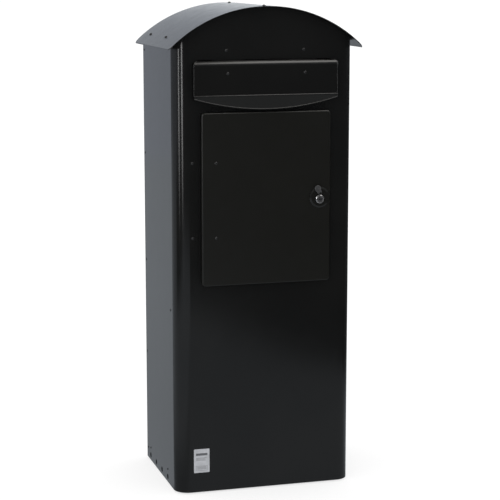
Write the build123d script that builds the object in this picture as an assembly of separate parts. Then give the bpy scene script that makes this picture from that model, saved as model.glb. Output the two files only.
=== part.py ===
from build123d import *
import os
from math import sin, cos, radians, sqrt, asin, degrees

os.makedirs("parts", exist_ok=True)

# ------------------------------------------------------------------ dimensions (mm)
W = 400.0                # cabinet width, outside
D = 300.0                # cabinet depth, outside
YF = -D / 2              # outer face of the front panel
YB = D / 2               # outer face of the back panel
T = 1.5                  # sheet steel, cabinet, back, base, roof and door
R_CORNER = 32.0          # plan radius of the two front corners
GAP = 0.1                # gap between a tray flange and the wall it is riveted to

R_ROOF = 306.0           # outer radius of the arched roof
Z_ROOF = 754.0           # height of the arch centre
ROOF_W = 430.0
ROOF_D = 340.0
ROOF_CORNER = 12.0
R_WALL = R_ROOF - T - 0.2    # radius that the walls are cut to, under the roof

SLOT_X, SLOT_Z0, SLOT_Z1 = 150.0, 880.0, 947.0           # mail slot
OPEN_X0, OPEN_X1, OPEN_Z0, OPEN_Z1 = -128.0, 134.0, 472.5, 826.5   # door opening

DOOR_X, DOOR_Z0, DOOR_Z1 = 144.0, 462.5, 836.5           # door leaf, half width and heights
DOOR_Y = YF - 12.0       # outer face of the door
DOOR_BACK = YF - 4.0     # rear edge of the door's flanges
DOOR_R = 8.0

FLAP_X, FLAP_FOLD = 160.0, 871.5                         # flap, half width and fold line
FLAP_T = 1.5
FLAP_Y = YF - 11.5       # outer face of the flap
FLAP_AY, FLAP_AZ = YF - 4.5, 940.5                       # flap hinge axis
FLAP_R, FLAP_CY, FLAP_CZ = 12.0, YF + 0.5, 935.0         # bend along the flap's top: radius and centre
FLAP_BACK = YF - 3.0
LIP_TILT = 13.5          # how far the lip leans out, degrees
LIP_END, LIP_MID = 6.0, 29.5                             # lip height at its ends and middle
FOLD_BEAD, EDGE_BEAD = 1.6, 1.2                          # pressed bead on the fold, rolled edge of the lip
FH_X = 86.0              # flap hinges, distance from the centre
FH_T, FH_RK, FH_RP = 1.2, 2.6, 1.35                      # leaf, knuckle and pin

DH_AX, DH_AY = -138.0, YF - 7.3                          # door hinge axis
DH_Z = (567.0, 729.0)
DH_T, DH_RK, DH_RP = 1.2, 2.6, 1.35
DH_BODY_RIVET_X, DH_DOOR_RIVET_X = -161.5, -112.5
FH_BODY_RIVET_Z, FH_FLAP_RIVET_Z = 967.0, 918.7

LOCK_X, LOCK_Z = 119.5, 643.5
ROSETTE_Z, ROSETTE_R = 647.5, 23.0
BARREL_HEAD_R, BARREL_R, PLUG_R = 9.25, 8.0, 5.95
COVER_Z = 656.0          # pivot of the dust cover, above the cylinder
COVER_LEN = 12.5
COVER_SWING = 154.0      # from hanging over the keyway to swung up

FLOOR_Z = 415.0          # top of the parcel floor
BASE_H = 42.0            # height of the base tray's flanges

BEARER_Y = (-45.0, 104.0)    # roof bearers, and the roof screws above them
SCREW_X = 192.5
RIDGE_SCREW_Y = 139.0         # roof screws on the ridge, through tabs of the front and the back
REAR_RIVET_Y = 141.0
REAR_RIVET_Z = (24.0, 257.0, 474.0, 722.0, 956.0)
SIDE_HOLE_Y = (-59.0, -1.5, 56.0, 113.5)
SIDE_HOLE_Z, SIDE_HOLE_R = 12.2, 6.25
BASE_RIVET_Y, BASE_RIVET_Z = (-59.0, 113.5), 30.0
FLOOR_RIVET_Y, FLOOR_RIVET_Z = -99.0, 402.5
FLOOR_REAR_RIVET_X = 120.0
ANCHOR_X, ANCHOR_Y, ANCHOR_R = 160.0, 100.0, 5.5         # base anchor holes
RIVET_R, RIVET_HEAD = 1.6, 3.2

LABEL = (-162.2, -127.0, 44.4, 98.0)

# ------------------------------------------------------------------ helpers


def block(x0, x1, y0, y1, z0, z1):
    return Pos((x0 + x1) / 2, (y0 + y1) / 2, (z0 + z1) / 2) * Box(x1 - x0, y1 - y0, z1 - z0)


def rod_x(y, z, x0, x1, r):
    return Pos((x0 + x1) / 2, y, z) * Rot(0, 90, 0) * Cylinder(r, x1 - x0)


def rod_y(x, z, y0, y1, r):
    return Pos(x, (y0 + y1) / 2, z) * Rot(90, 0, 0) * Cylinder(r, y1 - y0)


def rod_z(x, y, z0, z1, r):
    return Pos(x, y, (z0 + z1) / 2) * Cylinder(r, z1 - z0)


def slab(x0, x1, z0, z1, r, y0, y1):
    """Rounded rectangle in elevation, y0 (front) to y1 (rear)."""
    pl = Plane(origin=((x0 + x1) / 2, y1, (z0 + z1) / 2), x_dir=(1, 0, 0), z_dir=(0, -1, 0))
    return extrude(pl * RectangleRounded(x1 - x0, z1 - z0, r), y1 - y0)


def face_of(pts):
    return make_face(Polyline(*pts, close=True))


def strip2d(pts, t):
    """A strip of sheet of thickness t along a 2-D centre line."""
    sk = None
    for (ax, ay), (bx, by) in zip(pts, pts[1:]):
        L = sqrt((bx - ax) ** 2 + (by - ay) ** 2)
        nx, ny = -(by - ay) / L * t / 2, (bx - ax) / L * t / 2
        q = face_of([(ax + nx, ay + ny), (bx + nx, by + ny), (bx - nx, by - ny), (ax - nx, ay - ny)])
        sk = q if sk is None else sk + q
    for (px, py) in pts[1:-1]:
        sk = sk + Pos(px, py) * Circle(t / 2)
    return sk


YZ = Plane(origin=(0, 0, 0), x_dir=(0, 1, 0), z_dir=(1, 0, 0))


def sheet_x(pts, t, x0, x1):
    """Bent sheet, profile in Y-Z, running along X."""
    return Pos(x0, 0, 0) * extrude(YZ * strip2d(pts, t), x1 - x0)


def sheet_z(pts, t, z0, z1):
    """Bent sheet, profile in X-Y, running along Z."""
    return Pos(0, 0, z0) * extrude(strip2d(pts, t), z1 - z0)


def arch(r, y0, y1, z0=0.0):
    """Everything under an arch of radius r."""
    return block(-220, 220, y0, y1, z0, Z_ROOF) + (rod_y(0, Z_ROOF, y0, y1, r) & block(-220, 220, y0, y1, Z_ROOF - 1, Z_ROOF + r))


def rivet(pos, out, grip, r=RIVET_R, head=RIVET_HEAD, h=1.3):
    """Blind rivet: domed head outside, formed tail behind the grip."""
    prof = make_face([
        Line((0, 0), (0, h - 0.55)),
        Line((0, h - 0.55), (0.85, h - 0.55)),
        Line((0.85, h - 0.55), (0.85, h - 0.04)),
        ThreePointArc((0.85, h - 0.04), (head * 0.66, h * 0.70), (head, 0)),
        Line((head, 0), (r, 0)),
        Line((r, 0), (r, -grip)),
        Line((r, -grip), (r + 0.75, -grip)),
        Line((r + 0.75, -grip), (r + 0.45, -grip - 2.4)),
        Line((r + 0.45, -grip - 2.4), (0, -grip - 2.4)),
        Line((0, -grip - 2.4), (0, 0)),
    ])
    body = revolve(Plane.XZ * prof, Axis.Z)
    return Plane(origin=pos, z_dir=out) * body


def group(solids):
    return Compound(children=[s if isinstance(s, Solid) else s.solids()[0] for s in solids])


def save(name, shape):
    shape.label = name
    export_step(shape, f"parts/{name}.step")


def plan(x, y0, y1, r, z0, z1):
    """Cabinet plan, rounded at the two front corners only."""
    b = block(-x, x, y0, y1, z0, z1)
    ed = b.edges().filter_by(Axis.Z).sort_by(Axis.Y)[:2]
    return fillet(ed, r)


# ------------------------------------------------------------------ cabinet
XI = W / 2 - T           # inner face of the side walls
XT = XI - GAP            # outer face of the tray flanges inside them
HOLE = RIVET_R + 0.03
ROOF_HOLE = 2.2          # clearance hole of the roof screws


def ridge_tab(y0, y1):
    """Tab bent over at the top of an arched wall, under the roof's ridge."""
    t = rod_y(0, Z_ROOF, y0, y1, R_WALL) - rod_y(0, Z_ROOF, y0 - 1, y1 + 1, R_WALL - T)
    return t & block(-17, 17, y0, y1, Z_ROOF + 200, Z_ROOF + 400)


shell = plan(W / 2, YF, YB, R_CORNER, 0, 1100) - plan(XI, YF + T, YB + 10, R_CORNER - T, -1, 1101)
shell = shell & arch(R_WALL, YF - 5, YB + 5)
shell -= slab(-SLOT_X, SLOT_X, SLOT_Z0, SLOT_Z1, 4, YF - 5, YF + 5)
shell -= slab(OPEN_X0, OPEN_X1, OPEN_Z0, OPEN_Z1, 6, YF - 5, YF + 5)
for z in DH_Z:
    shell -= rod_y(DH_BODY_RIVET_X, z, YF - 5, YF + 5, HOLE)
for sx in (-1, 1):
    shell -= rod_y(sx * FH_X, FH_BODY_RIVET_Z, YF - 5, YF + 5, HOLE)
    for z in REAR_RIVET_Z:
        shell -= rod_x(REAR_RIVET_Y, z, sx * W / 2 - 5, sx * W / 2 + 5, HOLE)
    for y in SIDE_HOLE_Y:
        shell -= rod_x(y, SIDE_HOLE_Z, sx * W / 2 - 5, sx * W / 2 + 5, SIDE_HOLE_R)
    for y in BASE_RIVET_Y:
        shell -= rod_x(y, BASE_RIVET_Z, sx * W / 2 - 5, sx * W / 2 + 5, HOLE)
    shell -= rod_x(FLOOR_RIVET_Y, FLOOR_RIVET_Z, sx * W / 2 - 5, sx * W / 2 + 5, HOLE)
shell += ridge_tab(YF + 0.5, YF + 23)
shell -= rod_z(0, -RIDGE_SCREW_Y, Z_ROOF + 200, Z_ROOF + 400, ROOF_HOLE)
save("body_shell", shell)

# back panel: a tray whose side flanges lie inside the side walls
back = block(-XT, XT, YB - T, YB, 2.5, 1100)
for sx in (-1, 1):
    x0, x1 = sorted((sx * XT, sx * (XT - T)))
    back += block(x0, x1, YB - 20, YB - T, 2.5, 1100)
back = back & arch(R_WALL, YB - 30, YB + 5)
for sx in (-1, 1):
    for z in REAR_RIVET_Z:
        back -= rod_x(REAR_RIVET_Y, z, sx * XT - 5, sx * XT + 5, HOLE)
    back -= rod_y(sx * FLOOR_REAR_RIVET_X, FLOOR_RIVET_Z, YB - 6, YB + 5, HOLE)
back += ridge_tab(YB - 23, YB - 0.5)
back -= rod_z(0, RIDGE_SCREW_Y, Z_ROOF + 200, Z_ROOF + 400, ROOF_HOLE)
save("back_panel", back)


def tray(z0, z1, flange_z0, flange_z1):
    """Floor sheet with flanges at both sides, front and back."""
    yb = YB - T - GAP
    p = plan(XT, YF + T + GAP, yb, R_CORNER - T - GAP, z0, z1)
    for sx in (-1, 1):
        x0, x1 = sorted((sx * XT, sx * (XT - T)))
        p += block(x0, x1, -115, 128, flange_z0, flange_z1)
        a0, a1 = sorted((sx * (XT + 1), sx * (XT - T - 0.4)))
        p -= block(a0, a1, 129, yb + 1, z0 - 1, z1 + 1)
    p += block(-165, 165, YF + T + GAP, YF + 2 * T + GAP, flange_z0, flange_z1)
    p += block(-185, 185, yb - T, yb, flange_z0, flange_z1)
    return p


base = tray(0, T, 0, BASE_H)
for sx in (-1, 1):
    for y in SIDE_HOLE_Y:
        base -= rod_x(y, SIDE_HOLE_Z, sx * XT - 5, sx * XT + 5, SIDE_HOLE_R)
    for y in BASE_RIVET_Y:
        base -= rod_x(y, BASE_RIVET_Z, sx * XT - 5, sx * XT + 5, HOLE)
    for sy in (-1, 1):
        base -= rod_z(sx * ANCHOR_X, sy * ANCHOR_Y, -1, 5, ANCHOR_R)
save("base_tray", base)

pf = tray(FLOOR_Z - T, FLOOR_Z, FLOOR_Z - 27, FLOOR_Z)
for sx in (-1, 1):
    pf -= rod_x(FLOOR_RIVET_Y, FLOOR_RIVET_Z, sx * XT - 5, sx * XT + 5, HOLE)
    pf -= rod_y(sx * FLOOR_REAR_RIVET_X, FLOOR_RIVET_Z, YB - 8, YB + 5, HOLE)
save("parcel_floor", pf)

# ------------------------------------------------------------------ roof
roof = rod_y(0, Z_ROOF, -ROOF_D / 2, ROOF_D / 2, R_ROOF) - rod_y(0, Z_ROOF, -ROOF_D, ROOF_D, R_ROOF - T)
cutter = Pos(0, 0, Z_ROOF + 100) * extrude(RectangleRounded(ROOF_W, ROOF_D, ROOF_CORNER), 400)
roof = roof & cutter


def radial(x, r0, r1, y, rad):
    """Rod standing on the arch at x, from radius r0 to r1."""
    a = asin(x / R_ROOF)
    rm = (r0 + r1) / 2
    return Pos(rm * sin(a), y, Z_ROOF + rm * cos(a)) * Rot(0, degrees(a), 0) * Cylinder(rad, abs(r1 - r0))


SCREWS = [(x, y) for y in BEARER_Y for x in (-SCREW_X, SCREW_X)] + [(0.0, -RIDGE_SCREW_Y), (0.0, RIDGE_SCREW_Y)]
for x, y in SCREWS:
    roof -= radial(x, R_ROOF - 8, R_ROOF + 8, y, ROOF_HOLE)
save("roof_sheet", roof)


def bearer(y, side):
    """Arched angle under the roof, with an end tab against each side wall."""
    r = R_WALL - 0.05
    y0, y1 = y - 12, y + 12
    b = (rod_y(0, Z_ROOF, y0, y1, r) - rod_y(0, Z_ROOF, y0 - 1, y1 + 1, r - 2))
    w0, w1 = (y0, y0 + 2) if side < 0 else (y1 - 2, y1)
    b += rod_y(0, Z_ROOF, w0, w1, r) - rod_y(0, Z_ROOF, w0 - 1, w1 + 1, r - 20)
    b = b & block(-XT, XT, y0, y1, Z_ROOF + 100, Z_ROOF + 400)
    for sx in (-1, 1):
        x0, x1 = sorted((sx * XT, sx * (XT - 2)))
        b += block(x0, x1, y0, y1, 945, 1000) & arch(r - 0.5, y0, y1)
    for x in (-SCREW_X, SCREW_X):
        b -= radial(x, R_ROOF - 12, R_ROOF + 8, y, ROOF_HOLE)
    return b


save("front_roof_bearer", bearer(BEARER_Y[0], -1))
save("rear_roof_bearer", bearer(BEARER_Y[1], 1))

# button-head screws and nuts of the roof
screws, nuts = [], []
for x, y in SCREWS:
    a = asin(x / R_ROOF)
    s = make_face([
        Line((0, 0), (0, 2.2)),
        ThreePointArc((0, 2.2), (2.7, 1.55), (3.8, 0)),
        Line((3.8, 0), (2.0, 0)),
        Line((2.0, 0), (2.0, -9.5)),
        Line((2.0, -9.5), (0, -9.5)),
        Line((0, -9.5), (0, 0)),
    ])
    s = revolve(Plane.XZ * s, Axis.Z)
    s -= Pos(0, 0, 2.2) * extrude(RegularPolygon(1.45, 6), 1.4, both=True)
    pl = Pos(R_ROOF * sin(a), y, Z_ROOF + R_ROOF * cos(a)) * Rot(0, degrees(a), 0)
    screws.append(pl * s)
    n = extrude(RegularPolygon(4.04, 6), 3.2) - Cylinder(2.05, 20)
    rn = R_WALL - 0.05 - (2.0 if x else T) - 0.05 - 3.2
    nuts.append(Pos(rn * sin(a), y, Z_ROOF + rn * cos(a)) * Rot(0, degrees(a), 0) * n)
save("roof_screws", group(screws))
save("roof_nuts", group(nuts))

# ------------------------------------------------------------------ inside the cabinet
ramp = sheet_x([(YF + T + 0.8, 853.0), (YF + T + 0.8, 876.3), (-90.0, 846.0)], 1.5, -SLOT_X, SLOT_X)
save("slot_ramp", ramp)
baffle = sheet_x([(BEARER_Y[0] - 12 - 0.8, 1040.0), (BEARER_Y[0] - 12 - 0.8, 962.0), (-92.0, 918.0)], 1.5, -165, 165)
baffle = baffle & arch(R_WALL - 4, -150, 0, 700)
baffle -= rod_y(0, Z_ROOF + 40, -90, 0, 235) & block(-110, 110, -70, 0, 1008, 1100)
save("anti_fishing_baffle", baffle)
save("lock_keeper", slab(134.5, 160.0, LOCK_Z - 26, LOCK_Z + 26, 3, YF + T + 0.03, YF + T + 1.53))

# ------------------------------------------------------------------ mail flap
a60 = radians(60)
cx, cz = FLAP_CY - FLAP_R * cos(a60), FLAP_CZ + FLAP_R * sin(a60)
mx, mz = FLAP_CY - FLAP_R * cos(a60 / 2), FLAP_CZ + FLAP_R * sin(a60 / 2)
outline = make_face([
    Line((FLAP_Y, FLAP_FOLD), (FLAP_Y, FLAP_CZ)),
    ThreePointArc((FLAP_Y, FLAP_CZ), (mx, mz), (cx, cz)),
    Line((cx, cz), (FLAP_BACK, FLAP_AZ + 2)),
    Line((FLAP_BACK, FLAP_AZ + 2), (FLAP_BACK, FLAP_FOLD)),
    Line((FLAP_BACK, FLAP_FOLD), (FLAP_Y, FLAP_FOLD)),
])
ri = FLAP_R - FLAP_T
ix, iz = FLAP_CY - ri * cos(a60), FLAP_CZ + ri * sin(a60)
jx, jz = FLAP_CY - ri * cos(a60 / 2), FLAP_CZ + ri * sin(a60 / 2)
kx, kz = FLAP_CY - (FLAP_R + 2) * cos(a60), FLAP_CZ + (FLAP_R + 2) * sin(a60)
hollow = make_face([
    Line((FLAP_Y + FLAP_T, FLAP_FOLD - 10), (FLAP_Y + FLAP_T, FLAP_CZ)),
    ThreePointArc((FLAP_Y + FLAP_T, FLAP_CZ), (jx, jz), (ix, iz)),
    Line((ix, iz), (kx, kz)),
    Line((kx, kz), (YF + 10, kz)),
    Line((YF + 10, kz), (YF + 10, FLAP_FOLD - 10)),
    Line((YF + 10, FLAP_FOLD - 10), (FLAP_Y + FLAP_T, FLAP_FOLD - 10)),
])
flap = Pos(-FLAP_X, 0, 0) * extrude(YZ * outline, 2 * FLAP_X)
flap = flap - (Pos(-FLAP_X + FLAP_T, 0, 0) * extrude(YZ * hollow, 2 * (FLAP_X - FLAP_T)))
flap = flap & slab(-FLAP_X, FLAP_X, 700, FLAP_CZ + FLAP_R * sin(a60) + 0.02, 8, YF - 30, YF + 10)
# lip: leans out below the fold, its lower edge an arc
lipf = make_face([
    Line((-FLAP_X, 0), (FLAP_X, 0)),
    Line((FLAP_X, 0), (FLAP_X, -LIP_END)),
    ThreePointArc((FLAP_X, -LIP_END), (0, -LIP_MID), (-FLAP_X, -LIP_END)),
    Line((-FLAP_X, -LIP_END), (-FLAP_X, 0)),
])
lip = extrude(Plane(origin=(0, 0, 0), x_dir=(1, 0, 0), z_dir=(0, -1, 0)) * lipf, FLAP_T)
lip_path = Edge.make_three_point_arc((-FLAP_X + 0.5, -FLAP_T / 2, -LIP_END), (0, -FLAP_T / 2, -LIP_MID), (FLAP_X - 0.5, -FLAP_T / 2, -LIP_END))
lip = lip + sweep(Plane(origin=lip_path @ 0, z_dir=lip_path % 0) * Circle(EDGE_BEAD), lip_path)
lip = Pos(0, FLAP_Y + FLAP_T, FLAP_FOLD) * Rot(-LIP_TILT, 0, 0) * lip
flap = flap + lip
flap += rod_x(FLAP_Y + 0.35, FLAP_FOLD, -FLAP_X + 0.5, FLAP_X - 0.5, FOLD_BEAD)
flap += rod_x(FLAP_Y + FLAP_T, FLAP_FOLD, -FLAP_X, FLAP_X, FLAP_T) & block(-FLAP_X, FLAP_X, FLAP_Y, FLAP_Y + FLAP_T, FLAP_FOLD - 3, FLAP_FOLD + 3)
for sx in (-1, 1):
    flap -= rod_y(sx * FH_X, FH_FLAP_RIVET_Z, FLAP_Y - 5, FLAP_Y + 5, HOLE)
save("mail_flap", flap)

# flap hinges: cabinet leaf goes round the slot's top edge, flap leaf is behind the flap
fbl, ffl, fpin, fbr, ffr = [], [], [], [], []
yb_leaf = YF + T + FH_T / 2 + 0.05
for sx in (-1, 1):
    c = sx * FH_X
    leaf = sheet_x([(yb_leaf, 976.0), (yb_leaf, 944.0)], FH_T, c - 30, c + 30)
    for a, b in ((-30, -15.5), (15.5, 30)):
        leaf += sheet_x([(yb_leaf, 950.0), (yb_leaf, FLAP_AZ - FH_RK + FH_T / 2), (FLAP_AY, FLAP_AZ - FH_RK + FH_T / 2)], FH_T, c + a, c + b)
        leaf += rod_x(FLAP_AY, FLAP_AZ, c + a, c + b, FH_RK)
    leaf -= rod_x(FLAP_AY, FLAP_AZ, c - 40, c + 40, FH_RP + 0.02)
    leaf -= rod_y(c, FH_BODY_RIVET_Z, YF - 5, YF + 8, HOLE)
    fbl.append(leaf)
    yl = FLAP_Y + FLAP_T + FH_T / 2 + 0.03
    leaf = sheet_x([(yl, 905.0), (yl, 929.5), (FLAP_AY - FH_RK + FH_T / 2, 935.0), (FLAP_AY - FH_RK + FH_T / 2, FLAP_AZ)], FH_T, c - 14.5, c + 14.5)
    leaf += rod_x(FLAP_AY, FLAP_AZ, c - 14.5, c + 14.5, FH_RK)
    leaf -= rod_x(FLAP_AY, FLAP_AZ, c - 40, c + 40, FH_RP + 0.05)
    leaf -= rod_y(c, FH_FLAP_RIVET_Z, FLAP_Y - 5, FLAP_Y + 6, HOLE)
    ffl.append(leaf)
    fpin.append(rod_x(FLAP_AY, FLAP_AZ, c - 30.5, c + 30.5, FH_RP))
    fbr.append(rivet((c, YF, FH_BODY_RIVET_Z), (0, -1, 0), T + FH_T + 0.05))
    ffr.append(rivet((c, FLAP_Y, FH_FLAP_RIVET_Z), (0, -1, 0), FLAP_T + FH_T + 0.03))
save("flap_hinge_cabinet_leaves", group(fbl))
save("flap_hinge_flap_leaves", group(ffl))
save("flap_hinge_pins", group(fpin))
save("flap_hinge_cabinet_rivets", group(fbr))
save("flap_hinge_flap_rivets", group(ffr))
save("flap_buffers", group([rod_y(sx * 156.3, 880.0 + 4, YF - 2.8, YF, 3.4) for sx in (-1, 1)]))

# ------------------------------------------------------------------ door
outer = slab(-DOOR_X, DOOR_X, DOOR_Z0, DOOR_Z1, DOOR_R, DOOR_Y, DOOR_BACK)
outer = fillet(outer.faces().sort_by(Axis.Y)[0].edges(), 3.0)
inner = slab(-DOOR_X + T, DOOR_X - T, DOOR_Z0 + T, DOOR_Z1 - T, DOOR_R - T, DOOR_Y + T, DOOR_BACK + 5)
inner = fillet(inner.faces().sort_by(Axis.Y)[0].edges(), 1.2)
door = outer - inner
for z in DH_Z:
    door -= rod_y(DH_DOOR_RIVET_X, z, DOOR_Y - 5, DOOR_Y + 5, HOLE)
door -= rod_y(LOCK_X, LOCK_Z, DOOR_Y - 5, DOOR_Y + 5, BARREL_R + 0.1)
save("door_panel", door)

hat = sheet_z([(-30, DOOR_Y + T + 0.8), (-17, DOOR_Y + T + 0.8), (-13, YF - 3.3), (13, YF - 3.3), (17, DOOR_Y + T + 0.8), (30, DOOR_Y + T + 0.8)], 1.5, 482, 817)
save("door_stiffener", hat)

dbl, ddl, dpin, dbr, ddr = [], [], [], [], []
yb_leaf = YF + T + DH_T / 2 + 0.05
for z in DH_Z:
    plate = sheet_z([(-168.0, yb_leaf), (OPEN_X0 + 1.3, yb_leaf)], DH_T, z - 30, z + 30)
    for a, b in ((-30, -15.5), (15.5, 30)):
        plate += sheet_z([(-140.0, yb_leaf), (OPEN_X0 + 1.3, yb_leaf), (OPEN_X0 + 1.3, DH_AY + DH_RK - DH_T / 2), (DH_AX, DH_AY + DH_RK - DH_T / 2)], DH_T, z + a, z + b)
        plate += rod_z(DH_AX, DH_AY, z + a, z + b, DH_RK)
    plate -= rod_z(DH_AX, DH_AY, z - 40, z + 40, DH_RP + 0.02)
    plate -= rod_y(DH_BODY_RIVET_X, z, YF - 5, YF + 8, HOLE)
    dbl.append(plate)
    yd = DH_AY - DH_RK + DH_T / 2
    plate = sheet_z([(-98.0, yd), (DH_AX, yd)], DH_T, z - 14.5, z + 14.5)
    plate += rod_z(DH_AX, DH_AY, z - 14.5, z + 14.5, DH_RK)
    plate -= rod_z(DH_AX, DH_AY, z - 40, z + 40, DH_RP + 0.05)
    plate -= rod_y(DH_DOOR_RIVET_X, z, DOOR_Y - 5, DOOR_Y + 8, HOLE)
    ddl.append(plate)
    dpin.append(rod_z(DH_AX, DH_AY, z - 30.5, z + 30.5, DH_RP))
    dbr.append(rivet((DH_BODY_RIVET_X, YF, z), (0, -1, 0), T + DH_T + 0.05))
    ddr.append(rivet((DH_DOOR_RIVET_X, DOOR_Y, z), (0, -1, 0), yd + DH_T / 2 - DOOR_Y))
save("door_hinge_cabinet_leaves", group(dbl))
save("door_hinge_door_leaves", group(ddl))
save("door_hinge_pins", group(dpin))
save("door_hinge_cabinet_rivets", group(dbr))
save("door_hinge_door_rivets", group(ddr))
save("door_buffers", group([rod_y(139.6, z, YF - 3.8, YF, 3.4) for z in (482.0, 817.0)]))

# ------------------------------------------------------------------ lock
ROS_T = 2.8
ros = rod_y(LOCK_X, ROSETTE_Z, DOOR_Y - ROS_T, DOOR_Y, ROSETTE_R)
ros = chamfer(ros.faces().sort_by(Axis.Y)[0].edges(), 1.4, 4.0)
ros -= rod_y(LOCK_X, LOCK_Z, DOOR_Y - 8, DOOR_Y + 5, BARREL_R + 0.1)
ros -= rod_y(LOCK_X, COVER_Z, DOOR_Y - 8, DOOR_Y + 5, 1.52)
save("lock_rosette", ros)

HEAD_Y = DOOR_Y - ROS_T - 2.4
barrel = rod_y(LOCK_X, LOCK_Z, HEAD_Y, DOOR_Y - ROS_T, BARREL_HEAD_R)
barrel = chamfer(barrel.faces().sort_by(Axis.Y)[0].edges(), 0.7)
barrel += rod_y(LOCK_X, LOCK_Z, DOOR_Y - ROS_T, YF - 0.5, BARREL_R)
barrel -= rod_y(LOCK_X, LOCK_Z, HEAD_Y - 5, YF + 5, PLUG_R + 0.05)
save("lock_barrel", barrel)

plug = rod_y(LOCK_X, LOCK_Z, HEAD_Y - 0.1, YF + 1.0, PLUG_R)
plug -= block(LOCK_X - 3.6, LOCK_X + 4.4, HEAD_Y - 5, HEAD_Y + 11, LOCK_Z - 0.9, LOCK_Z + 0.9)
plug += block(LOCK_X - 3, LOCK_X + 3, YF + 1.0, YF + 6.5, LOCK_Z - 3, LOCK_Z + 3)
plug -= rod_y(LOCK_X, LOCK_Z, YF - 4.0, YF + 10, 2.02)
save("lock_plug", plug)

nutp = Plane(origin=(LOCK_X, DOOR_Y + T + 4.1, LOCK_Z), x_dir=(1, 0, 0), z_dir=(0, -1, 0))
nut = extrude(nutp * RegularPolygon(12.7, 6), 4.0) - rod_y(LOCK_X, LOCK_Z, DOOR_Y - 5, YF + 5, BARREL_R + 0.05)
save("lock_nut", nut)

CAM_Y0, CAM_Y1 = YF + 4.1, YF + 6.6
cam = rod_y(LOCK_X, LOCK_Z, CAM_Y0, CAM_Y1, 9.0) + block(LOCK_X - 7, LOCK_X + 7, CAM_Y0, CAM_Y1, LOCK_Z, LOCK_Z + 25)
cam += rod_y(LOCK_X, LOCK_Z + 25, CAM_Y0, CAM_Y1, 7.0)
cam -= block(LOCK_X - 3.05, LOCK_X + 3.05, CAM_Y0 - 1, CAM_Y1 + 1, LOCK_Z - 3.05, LOCK_Z + 3.05)
save("lock_cam", cam)

cs = rod_y(LOCK_X, LOCK_Z, CAM_Y1, CAM_Y1 + 2.8, 4.4)
cs = chamfer(cs.faces().sort_by(Axis.Y)[-1].edges(), 0.6)
cs -= block(LOCK_X - 5, LOCK_X + 5, CAM_Y1 + 1.8, CAM_Y1 + 4, LOCK_Z - 0.5, LOCK_Z + 0.5)
cs += rod_y(LOCK_X, LOCK_Z, YF - 2.5, CAM_Y1, 2.0)
save("cam_screw", cs)

# dust cover: a small tongue on a pivot, swung up and to the left at rest
CY1 = HEAD_Y - 0.35
CY0 = CY1 - 1.1
r0, r1, L = 3.6, 6.9, COVER_LEN
k = asin((r1 - r0) / L)
pts = [(r0 * cos(k), r0 * sin(k)), (r1 * cos(k), -L + r1 * sin(k)), (-r1 * cos(k), -L + r1 * sin(k)), (-r0 * cos(k), r0 * sin(k))]
tongue = face_of(pts) + Circle(r0) + Pos(0, -L) * Circle(r1)
tongue = tongue - Circle(1.55)
pl = Plane(origin=(0, 0, 0), x_dir=(1, 0, 0), z_dir=(0, -1, 0))
tg = extrude(pl * tongue, CY1 - CY0)
tg = fillet(tg.faces().sort_by(Axis.Y)[0].outer_wire().edges(), 0.45)
tg = Pos(LOCK_X, CY1, COVER_Z) * Rot(0, COVER_SWING, 0) * tg
save("dust_cover", tg)
piv = rod_y(LOCK_X, COVER_Z, CY0 - 0.1, DOOR_Y - 1.2, 1.5) + rod_y(LOCK_X, COVER_Z, CY0 - 1.0, CY0 - 0.1, 2.8)
piv = piv + rod_y(LOCK_X, COVER_Z, CY1 + 0.1, DOOR_Y - ROS_T, 2.6)
save("dust_cover_pivot", piv)

# ------------------------------------------------------------------ label and rivets
x0, x1, z0, z1 = LABEL
save("label_plate", slab(x0, x1, z0, z1, 1.5, YF - 0.8, YF))

side = [(-W / 2, (-1, 0, 0)), (W / 2, (1, 0, 0))]
grip = 2 * T + GAP
save("back_panel_rivets", group([rivet((x, REAR_RIVET_Y, z), o, grip) for x, o in side for z in REAR_RIVET_Z]))
save("base_tray_rivets", group([rivet((x, y, BASE_RIVET_Z), o, grip) for x, o in side for y in BASE_RIVET_Y]))
fr = [rivet((x, FLOOR_RIVET_Y, FLOOR_RIVET_Z), o, grip) for x, o in side]
fr += [rivet((sx * FLOOR_REAR_RIVET_X, YB, FLOOR_RIVET_Z), (0, 1, 0), grip) for sx in (-1, 1)]
save("parcel_floor_rivets", group(fr))
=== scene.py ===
import bpy, bmesh, math
from mathutils import Vector, Matrix


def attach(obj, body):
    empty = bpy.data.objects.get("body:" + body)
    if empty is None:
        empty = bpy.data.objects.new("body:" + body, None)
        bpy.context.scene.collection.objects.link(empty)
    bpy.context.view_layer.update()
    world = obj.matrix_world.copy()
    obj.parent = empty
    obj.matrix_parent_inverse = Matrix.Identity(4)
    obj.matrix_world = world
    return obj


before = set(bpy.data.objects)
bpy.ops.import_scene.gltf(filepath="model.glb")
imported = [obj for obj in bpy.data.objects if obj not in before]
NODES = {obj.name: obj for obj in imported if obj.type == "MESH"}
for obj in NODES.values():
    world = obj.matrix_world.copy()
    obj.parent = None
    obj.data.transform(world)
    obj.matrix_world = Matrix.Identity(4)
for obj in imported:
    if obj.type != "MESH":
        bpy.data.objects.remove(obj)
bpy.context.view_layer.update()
scene = bpy.context.scene
coll = scene.collection

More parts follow.
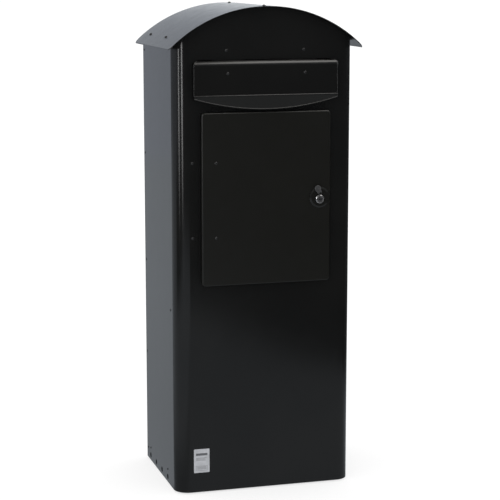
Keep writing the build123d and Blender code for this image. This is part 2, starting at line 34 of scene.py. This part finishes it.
# ------------------------------------------------------------------ camera
F_PX = 1651.87
TH, PS = 0.172730, 0.280581
CAM = Vector((-1.01109, -3.54031, 1.15168))
cam_data = bpy.data.cameras.new("camera")
cam_data.sensor_width = 36.0
cam_data.lens = F_PX / 500.0 * 36.0
cam_data.clip_start, cam_data.clip_end = 0.05, 60.0
cam = bpy.data.objects.new("camera", cam_data)
coll.objects.link(cam)
fwd = Vector((math.sin(PS) * math.cos(TH), math.cos(PS) * math.cos(TH), -math.sin(TH)))
cam.location = CAM
cam.rotation_mode = "QUATERNION"
cam.rotation_quaternion = fwd.to_track_quat("-Z", "Y")
scene.camera = cam
scene.view_settings.view_transform = "Standard"


# ------------------------------------------------------------------ node helper
class Nodes:
    """Small helper that adds nodes to a tree and links them by socket."""

    def __init__(self, tree):
        self.t = tree
        self.t.nodes.clear()

    def add(self, kind, **kw):
        n = self.t.nodes.new(kind)
        for k, v in kw.items():
            setattr(n, k, v)
        return n

    def link(self, a, b):
        self.t.links.new(a, b)

    def put(self, sock, v):
        if isinstance(v, bpy.types.NodeSocket):
            self.link(v, sock)
        else:
            sock.default_value = v

    def math(self, op, a, b=None, c=None, clamp=False):
        n = self.add("ShaderNodeMath", operation=op, use_clamp=clamp)
        self.put(n.inputs[0], a)
        if b is not None:
            self.put(n.inputs[1], b)
        if c is not None:
            self.put(n.inputs[2], c)
        return n.outputs[0]

    def step(self, v, a, b, lo=0.0, hi=1.0):
        n = self.add("ShaderNodeMapRange", interpolation_type="SMOOTHSTEP")
        self.put(n.inputs["Value"], v)
        n.inputs["From Min"].default_value = a
        n.inputs["From Max"].default_value = b
        n.inputs["To Min"].default_value = lo
        n.inputs["To Max"].default_value = hi
        return n.outputs[0]

    def noise(self, vec, scale, detail=2.0, rough=0.5, dim="3D"):
        n = self.add("ShaderNodeTexNoise", noise_dimensions=dim)
        if vec is not None:
            self.link(vec, n.inputs["Vector"])
        n.inputs["Scale"].default_value = scale
        n.inputs["Detail"].default_value = detail
        n.inputs["Roughness"].default_value = rough
        return n.outputs[0]

    def mix(self, fac, a, b, blend="MIX"):
        n = self.add("ShaderNodeMix", data_type="RGBA", blend_type=blend)
        self.put(n.inputs["Factor"], fac)
        self.put(n.inputs[6], a)
        self.put(n.inputs[7], b)
        return n.outputs[2]


def rgb(r, g, b):
    return (r, g, b, 1.0)


# ------------------------------------------------------------------ object materials
def paint(name, dark, light, rough, rough_var, peel, peel_scale, dust=0.0, spec=0.5):
    """Powder coat on sheet steel: fine orange peel, faint cloudiness and dust."""
    m = bpy.data.materials.new(name)
    m.use_nodes = True
    n = Nodes(m.node_tree)
    out = n.add("ShaderNodeOutputMaterial")
    b = n.add("ShaderNodeBsdfPrincipled")
    n.link(b.outputs[0], out.inputs[0])
    co = n.add("ShaderNodeTexCoord").outputs["Object"]
    cloud = n.noise(co, 5.0, 2.0, 0.5)
    grain = n.noise(co, peel_scale, 2.0, 0.6)
    base = n.mix(n.step(cloud, 0.35, 0.7), dark, light)
    if dust:
        # dust settles on upward faces, in soft patches
        nz = n.add("ShaderNodeSeparateXYZ")
        n.link(n.add("ShaderNodeNewGeometry").outputs["Normal"], nz.inputs[0])
        up = n.step(nz.outputs[2], 0.25, 0.95)
        patch = n.step(n.noise(co, 22.0, 5.0, 0.65), 0.42, 0.75)
        base = n.mix(n.math("MULTIPLY", n.math("MULTIPLY", up, patch), dust), base, rgb(0.23, 0.215, 0.19))
    n.link(base, b.inputs["Base Color"])
    r = n.step(n.noise(co, 35.0, 3.0, 0.6), 0.3, 0.75, rough - rough_var, rough + rough_var)
    n.link(r, b.inputs["Roughness"])
    b.inputs["IOR"].default_value = 1.5
    b.inputs["Specular IOR Level"].default_value = spec
    bump = n.add("ShaderNodeBump")
    bump.inputs["Strength"].default_value = peel
    bump.inputs["Distance"].default_value = 0.0002
    n.link(grain, bump.inputs["Height"])
    n.link(bump.outputs[0], b.inputs["Normal"])
    return m


def metal(name, color, rough, scale=(1.0, 1.0, 1.0), grain=400.0, depth=0.15, tint=(1.0, 1.0, 1.0), amount=1.0):
    """Plated or brushed metal with a fine grain stretched along one axis."""
    m = bpy.data.materials.new(name)
    m.use_nodes = True
    n = Nodes(m.node_tree)
    out = n.add("ShaderNodeOutputMaterial")
    b = n.add("ShaderNodeBsdfPrincipled")
    n.link(b.outputs[0], out.inputs[0])
    b.inputs["Metallic"].default_value = amount
    co = n.add("ShaderNodeTexCoord").outputs["Object"]
    mp = n.add("ShaderNodeMapping")
    n.link(co, mp.inputs["Vector"])
    mp.inputs["Scale"].default_value = scale
    g = n.noise(mp.outputs[0], grain, 4.0, 0.6)
    blotch = n.noise(co, 60.0, 3.0, 0.5)
    c2 = tuple(c * t * 0.72 for c, t in zip(color, tint))
    n.link(n.mix(n.step(blotch, 0.3, 0.75), rgb(*color), rgb(*c2)), b.inputs["Base Color"])
    n.link(n.step(g, 0.25, 0.8, rough * 0.75, rough * 1.35), b.inputs["Roughness"])
    bump = n.add("ShaderNodeBump")
    bump.inputs["Strength"].default_value = depth
    bump.inputs["Distance"].default_value = 0.0001
    n.link(g, bump.inputs["Height"])
    n.link(bump.outputs[0], b.inputs["Normal"])
    return m


M_BODY = paint("cabinet_black", rgb(0.0058, 0.0060, 0.0060), rgb(0.0075, 0.0076, 0.0074), 0.15, 0.012, 0.03, 350.0, dust=0.05)
M_ROOF = paint("roof_black", rgb(0.0060, 0.0062, 0.0064), rgb(0.0082, 0.0083, 0.0082), 0.20, 0.02, 0.03, 500.0, dust=0.10)
M_FLAP = paint("flap_black", rgb(0.0058, 0.0059, 0.0058), rgb(0.0073, 0.0073, 0.0070), 0.16, 0.015, 0.02, 500.0, dust=0.04)
M_DOOR = paint("door_black", rgb(0.0060, 0.0059, 0.0045), rgb(0.0066, 0.0065, 0.0050), 0.33, 0.01, 0.35, 1400.0, dust=0.03)
M_INNER = paint("inside_black", rgb(0.006, 0.006, 0.006), rgb(0.009, 0.009, 0.009), 0.40, 0.05, 0.2, 1100.0, dust=0.05, spec=0.35)
M_BEZEL = paint("lock_bezel", rgb(0.0055, 0.0055, 0.0050), rgb(0.0075, 0.0075, 0.0068), 0.22, 0.03, 0.05, 1500.0, spec=0.5)
M_RUBBER = paint("rubber_black", rgb(0.012, 0.012, 0.012), rgb(0.02, 0.02, 0.02), 0.7, 0.08, 0.3, 1500.0, spec=0.3)
M_ZINC = metal("zinc_plated", (0.50, 0.52, 0.55), 0.34, (1, 1, 1), 260.0, 0.1, (1.0, 1.0, 0.96))
M_CHROME = metal("lock_chrome", (0.70, 0.70, 0.71), 0.20, (1, 1, 1), 900.0, 0.04, amount=0.90)
M_PLUG = metal("plug_nickel", (0.42, 0.42, 0.43), 0.28, (1, 1, 1), 900.0, 0.04, amount=0.96)
M_COVER = metal("cover_satin", (0.30, 0.30, 0.305), 0.34, (1, 1, 1), 900.0, 0.04, amount=0.92)
M_SCREW = paint("screw_black", rgb(0.010, 0.010, 0.011), rgb(0.016, 0.016, 0.017), 0.28, 0.04, 0.05, 1500.0, dust=0.1)


def label_mat():
    """Pale printed plate: a frame line, a solid bar and plain rules, no lettering."""
    m = bpy.data.materials.new("label_print")
    m.use_nodes = True
    n = Nodes(m.node_tree)
    out = n.add("ShaderNodeOutputMaterial")
    b = n.add("ShaderNodeBsdfPrincipled")
    n.link(b.outputs[0], out.inputs[0])
    co = n.add("ShaderNodeTexCoord").outputs["Object"]
    s = n.add("ShaderNodeSeparateXYZ")
    n.link(co, s.inputs[0])
    x, z = s.outputs[0], s.outputs[2]

    def bar(x0, x1, z0, z1):
        f = n.math("MULTIPLY", n.math("GREATER_THAN", x, x0), n.math("LESS_THAN", x, x1))
        g = n.math("MULTIPLY", n.math("GREATER_THAN", z, z0), n.math("LESS_THAN", z, z1))
        return n.math("MULTIPLY", f, g)

    ink = bar(-0.1575, -0.1317, 0.0832, 0.0885)
    for z0, x1 in ((0.0770, -0.1340), (0.0745, -0.1375), (0.0720, -0.1355)):
        ink = n.math("MAXIMUM", ink, n.math("MULTIPLY", bar(-0.1575, x1, z0, z0 + 0.0012), 0.75))
    box = n.math("SUBTRACT", bar(-0.1575, -0.1317, 0.0490, 0.0600), bar(-0.1568, -0.1324, 0.0497, 0.0593))
    ink = n.math("MAXIMUM", ink, n.math("MULTIPLY", box, 0.8))
    for z0 in (0.0522, 0.0545, 0.0568):
        ink = n.math("MAXIMUM", ink, n.math("MULTIPLY", bar(-0.1550, -0.1342, z0, z0 + 0.0012), 0.75))
    tone = n.mix(n.step(n.noise(co, 60.0, 3.0, 0.6), 0.3, 0.75), rgb(0.40, 0.41, 0.43), rgb(0.50, 0.51, 0.54))
    n.link(n.mix(n.math("MULTIPLY", ink, 0.85), tone, rgb(0.05, 0.052, 0.058)), b.inputs["Base Color"])
    b.inputs["Roughness"].default_value = 0.45
    b.inputs["Metallic"].default_value = 0.15
    return m


M_LABEL = label_mat()

MAT = {
    "body_shell": M_BODY, "back_panel": M_BODY, "base_tray": M_INNER, "parcel_floor": M_INNER, "roof_sheet": M_ROOF,
    "front_roof_bearer": M_INNER, "rear_roof_bearer": M_INNER, "slot_ramp": M_INNER, "anti_fishing_baffle": M_INNER,
    "lock_keeper": M_INNER, "mail_flap": M_FLAP, "door_panel": M_DOOR, "door_stiffener": M_DOOR,
    "flap_hinge_cabinet_leaves": M_INNER, "flap_hinge_flap_leaves": M_INNER, "flap_hinge_pins": M_INNER,
    "door_hinge_cabinet_leaves": M_ZINC, "door_hinge_door_leaves": M_ZINC, "door_hinge_pins": M_ZINC,
    "flap_hinge_cabinet_rivets": M_SCREW, "flap_hinge_flap_rivets": M_SCREW,
    "door_hinge_cabinet_rivets": M_SCREW, "door_hinge_door_rivets": M_SCREW,
    "back_panel_rivets": M_SCREW, "base_tray_rivets": M_SCREW, "parcel_floor_rivets": M_SCREW,
    "roof_screws": M_SCREW, "roof_nuts": M_ZINC,
    "lock_rosette": M_BEZEL, "lock_barrel": M_CHROME, "lock_plug": M_PLUG, "lock_nut": M_ZINC, "lock_cam": M_ZINC,
    "cam_screw": M_ZINC, "dust_cover": M_COVER, "dust_cover_pivot": M_BEZEL,
    "flap_buffers": M_RUBBER, "door_buffers": M_RUBBER, "label_plate": M_LABEL,
}
for name in NODES:
    o = NODES[name] if isinstance(NODES, dict) else bpy.data.objects[name]
    m = MAT[name]
    if not o.data.materials:
        o.data.materials.append(m)
    for i in range(len(o.data.materials)):
        o.data.materials[i] = m


# ------------------------------------------------------------------ rolled side edges of the flap
def tube(name, pts, radius, mat, body):
    """Thin rolled edge along a line of points, riding on a body."""
    cu = bpy.data.curves.new(name + "_line", "CURVE")
    cu.dimensions = "3D"
    cu.bevel_depth = radius
    cu.bevel_resolution = 4
    cu.use_fill_caps = True
    sp = cu.splines.new("POLY")
    sp.points.add(len(pts) - 1)
    for q, c in zip(sp.points, pts):
        q.co = (c[0], c[1], c[2], 1.0)
    tmp = bpy.data.objects.new(name + "_tmp", cu)
    coll.objects.link(tmp)
    me = bpy.data.meshes.new_from_object(tmp)
    bpy.data.objects.remove(tmp)
    for f in me.polygons:
        f.use_smooth = True
    me.materials.clear()
    me.materials.append(mat)
    o = bpy.data.objects.new(name, me)
    coll.objects.link(o)
    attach(o, body)
    return o


def flap_edge(side):
    pts = [(side * 0.1594, -0.1609, 0.872 + 0.0654 * i / 12) for i in range(13)]
    for i in range(1, 13):
        t = math.radians(90 * i / 12)
        z = 0.9374 + 0.0076 * math.sin(t)
        x = 0.152 + 0.0074 * math.cos(t)
        f = math.asin(min(1.0, (z - 0.935) / 0.012))
        pts.append((side * x, -0.1495 - 0.0114 * math.cos(f), 0.935 + 0.0114 * math.sin(f)))
    return pts


tube("flap_edge_left", flap_edge(-1), 0.0012, M_FLAP, "flap")
tube("flap_edge_right", flap_edge(1), 0.0012, M_FLAP, "flap")


# ------------------------------------------------------------------ studio
def emission(name, build, color=(1, 1, 1)):
    m = bpy.data.materials.new(name)
    m.use_nodes = True
    n = Nodes(m.node_tree)
    out = n.add("ShaderNodeOutputMaterial")
    e = n.add("ShaderNodeEmission")
    n.link(e.outputs[0], out.inputs[0])
    co = n.add("ShaderNodeTexCoord").outputs["Object"]
    s = n.add("ShaderNodeSeparateXYZ")
    n.link(co, s.inputs[0])
    build(n, e, s, co)
    return m


def glossy_only(o):
    o.visible_camera = False
    o.visible_diffuse = False
    o.visible_shadow = False
    o.visible_transmission = False
    o.visible_volume_scatter = False


def card(name, corners, mat):
    me = bpy.data.meshes.new(name)
    me.from_pydata([Vector(c) for c in corners], [], [(0, 1, 2, 3)])
    me.materials.append(mat)
    o = bpy.data.objects.new(name, me)
    coll.objects.link(o)
    glossy_only(o)
    return o


# reflection dome: what the gloss sees all round
def dome_build(n, e, s, co):
    az = n.math("ARCTAN2", n.math("MULTIPLY", s.outputs[0], -1.0), s.outputs[1])
    t = n.math("MULTIPLY_ADD", az, 1.0 / (2 * math.pi), 0.5)
    ramp = n.add("ShaderNodeValToRGB")
    n.link(t, ramp.inputs[0])
    cr = ramp.color_ramp
    stops = [(-180, .02), (-150, .02), (-95, .02), (-60, .03), (-34, .05), (-26, .44), (0, .47), (12, .465), (17.0, .45), (18.2, .18),
             (45, .22), (88, .34), (97, .26), (112, .12), (139, .04), (150, .02), (180, .02)]
    while len(cr.elements) < len(stops):
        cr.elements.new(0.5)
    for el, (a, v) in zip(cr.elements, stops):
        el.position = (a + 180) / 360
    for el, (a, v) in zip(cr.elements, stops):
        el.color = (v * 0.93, v, v * 1.13, 1)
    # brighter overhead
    r2 = n.math("SQRT", n.math("ADD", n.math("MULTIPLY", s.outputs[0], s.outputs[0]), n.math("MULTIPLY", s.outputs[1], s.outputs[1])))
    el_ang = n.math("ARCTAN2", s.outputs[2], r2)
    up = n.step(el_ang, math.radians(28), math.radians(42))
    # dim grey band in front, above the dark horizon
    faz = n.math("ABSOLUTE", n.math("ARCTAN2", s.outputs[0], n.math("MULTIPLY", s.outputs[1], -1.0)))
    band = n.math("MULTIPLY", n.math("MULTIPLY", n.step(el_ang, math.radians(7), math.radians(14)), n.step(faz, math.radians(60), math.radians(110), 1.0, 0.0)), 0.20)
    # bright low horizon behind
    baz = n.step(n.math("ABSOLUTE", az), math.radians(70), math.radians(120), 1.0, 0.0)
    lo = n.math("MULTIPLY", n.step(el_ang, math.radians(3.2), math.radians(18.5), 1.0, 0.0), n.step(el_ang, math.radians(0.5), math.radians(3)))
    low = n.math("MULTIPLY", n.math("MULTIPLY", lo, baz), 0.85)
    lift = n.math("MULTIPLY", n.step(el_ang, math.radians(0.5), math.radians(3)), baz)
    col = n.mix(1.0, ramp.outputs[0], n.mix(band, rgb(0, 0, 0), rgb(0.95, 1.0, 1.0)), "ADD")
    col = n.mix(n.math("MULTIPLY", lift, 0.02), col, rgb(0.95, 1.0, 1.08))
    col = n.mix(low, col, rgb(1.34, 1.40, 1.44))
    col = n.mix(up, col, rgb(0.9, 0.9, 0.9))
    n.link(col, e.inputs[0])
    e.inputs[1].default_value = 1.0


bm = bmesh.new()
bmesh.ops.create_uvsphere(bm, u_segments=96, v_segments=48, radius=9.0)
me = bpy.data.meshes.new("studio_dome")
bm.to_mesh(me)
bm.free()
for p in me.polygons:
    p.use_smooth = True
me.materials.append(emission("dome_light", dome_build))
dome = bpy.data.objects.new("studio_dome", me)
dome.location = (0, 0, 0.6)
coll.objects.link(dome)
glossy_only(dome)


# the pale floor as the gloss sees it: dim in front, brighter behind, with a soft right edge
def floor_glow(n, e, s, co):
    x, y = s.outputs[0], s.outputs[1]
    edge = n.math("MULTIPLY_ADD", y, -0.1426, x)          # a soft edge running back to front
    fx = n.step(edge, 0.49, 0.75, 1.0, 0.0)
    g = n.math("MULTIPLY_ADD", x, -0.73, n.math("ADD", y, 1.60))
    right = n.math("MULTIPLY", n.step(g, -0.12, 0.12), n.step(x, 1.05, 1.25, 1.0, 0.0))
    fx = n.math("MAXIMUM", fx, right)
    lf = n.math("MAXIMUM", n.step(x, -2.6, -2.0), n.step(y, -0.2, 0.5))
    ff = n.step(y, -3.95, -2.75)
    side = n.math("MULTIPLY_ADD", y, 0.31, x)             # a sharp edge running back from the front left corner
    tone = n.step(side, -0.75, -0.30, 0.36, 0.20)
    tone = n.math("MAXIMUM", tone, n.step(x, -0.30, -0.15, 0.0, 0.27))
    front = n.math("MULTIPLY", n.math("MULTIPLY", fx, lf), n.math("MULTIPLY", ff, tone))
    near = n.step(x, -0.70, -0.25, 0.445, 0.40)
    back = n.math("MULTIPLY", n.step(side, -0.28, -0.22), n.step(y, -0.14, -0.06))
    bx = n.step(x, 0.6, 1.4, 1.0, 0.1)
    v = n.math("ADD", n.math("MULTIPLY", front, n.math("SUBTRACT", 1.0, back)), n.math("MULTIPLY", n.math("MULTIPLY", near, back), bx))
    n.put(e.inputs[1], v)
    e.inputs[0].default_value = (0.93, 1.0, 1.08, 1)


card("studio_floor_glow", [(-6, -6, -0.002), (6, -6, -0.002), (6, 6, -0.002), (-6, 6, -0.002)], emission("floor_light", floor_glow))


def strip(name, direction, dist, width, z0, z1, power):
    d = Vector((direction[0], direction[1], 0)).normalized()
    c = Vector((-0.19, -0.14, 0)) + d * dist
    side = Vector((-d.y, d.x, 0)) * width / 2

    def b(n, e, s, co):
        n.put(e.inputs[1], n.math("MULTIPLY", n.step(s.outputs[2], z0, z1), power))
        e.inputs[0].default_value = (1, 1, 1, 1)
    card(name, [c - side + Vector((0, 0, z0 - 0.02)), c + side + Vector((0, 0, z0 - 0.02)), c + side + Vector((0, 0, 2.1)), c - side + Vector((0, 0, 2.1))], emission(name + "_light", b))


strip("studio_strip_1", (-0.905, -0.425), 1.6, 0.16, 0.30, 0.75, 5.8)
strip("studio_strip_2", (-0.625, -0.781), 1.6, 0.21, 0.30, 0.75, 5.8)


def over(n, e, s, co):
    e.inputs[0].default_value = (1.0, 0.97, 0.93, 1)
    n.put(e.inputs[1], n.math("MULTIPLY", n.step(s.outputs[0], 0.20, 0.36, 0.06, 1.0), 3.6))


card("studio_overhead", [(-1.2, -1.7, 2.3), (1.6, -1.7, 2.3), (1.6, 0.5, 2.3), (-1.2, 0.5, 2.3)], emission("overhead_light", over))

# floor: plain and pale, lit by a white sky
world = bpy.data.worlds.new("studio")
scene.world = world
world.use_nodes = True
wn = Nodes(world.node_tree)
wo = wn.add("ShaderNodeOutputWorld")
bg = wn.add("ShaderNodeBackground")
bg.inputs[0].default_value = (1, 1, 1, 1)
bg.inputs[1].default_value = 1.06
wn.link(bg.outputs[0], wo.inputs[0])

fm = bpy.data.materials.new("floor_pale")
fm.use_nodes = True
n = Nodes(fm.node_tree)
out = n.add("ShaderNodeOutputMaterial")
d = n.add("ShaderNodeBsdfPrincipled")
n.link(d.outputs[0], out.inputs[0])
d.inputs["Base Color"].default_value = (0.42, 0.42, 0.42, 1)
d.inputs["Roughness"].default_value = 1.0
d.inputs["Specular IOR Level"].default_value = 0.0
d.inputs["Emission Color"].default_value = (1, 1, 1, 1)
d.inputs["Emission Strength"].default_value = 0.66
me = bpy.data.meshes.new("floor")
me.from_pydata([(-8, -8, -0.003), (8, -8, -0.003), (8, 8, -0.003), (-8, 8, -0.003)], [], [(0, 1, 2, 3)])
me.materials.append(fm)
floor = bpy.data.objects.new("floor", me)
coll.objects.link(floor)
floor.visible_glossy = False
